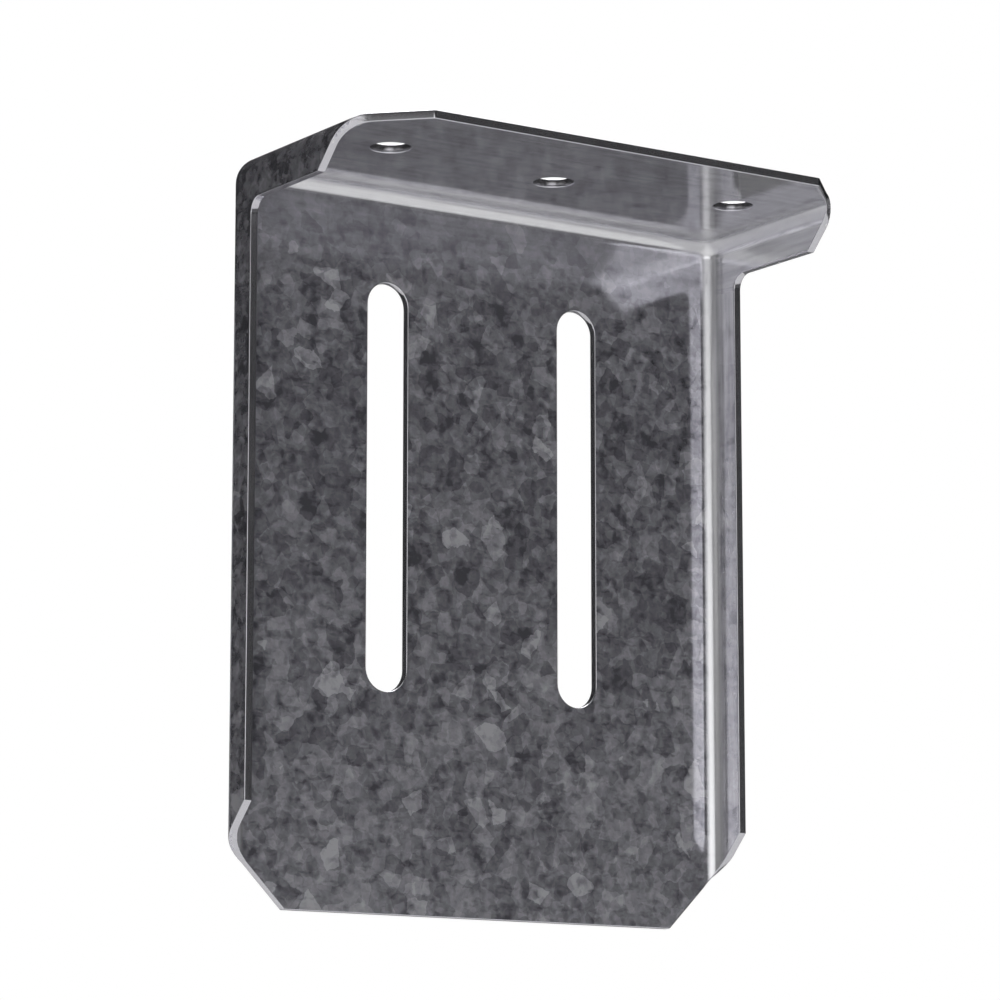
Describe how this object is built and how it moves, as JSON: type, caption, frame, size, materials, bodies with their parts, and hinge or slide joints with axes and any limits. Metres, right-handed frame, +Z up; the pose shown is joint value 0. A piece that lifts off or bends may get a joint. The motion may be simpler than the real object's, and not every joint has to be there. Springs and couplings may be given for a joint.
{
  "type": "slide clip",
  "caption": "Drawn steel angle clip with stiffening lips, long vertical slots in the web and anchor holes in the flange; holds a stud while letting it slide up and down.",
  "frame": {"origin": "on the top face of the flange, midway between the outer anchor holes", "axes": "+X along the width, +Y towards the back of the web, +Z up out of the top face; the web hangs down along -Z"},
  "size_m": [0.0826, 0.0376, 0.1016],
  "materials": {
    "galvanised_steel": "hot-dip galvanised, spangled"
  },
  "bodies": {
    "root": {"slide_clip": "galvanised_steel"}
  },
  "joints": []
}
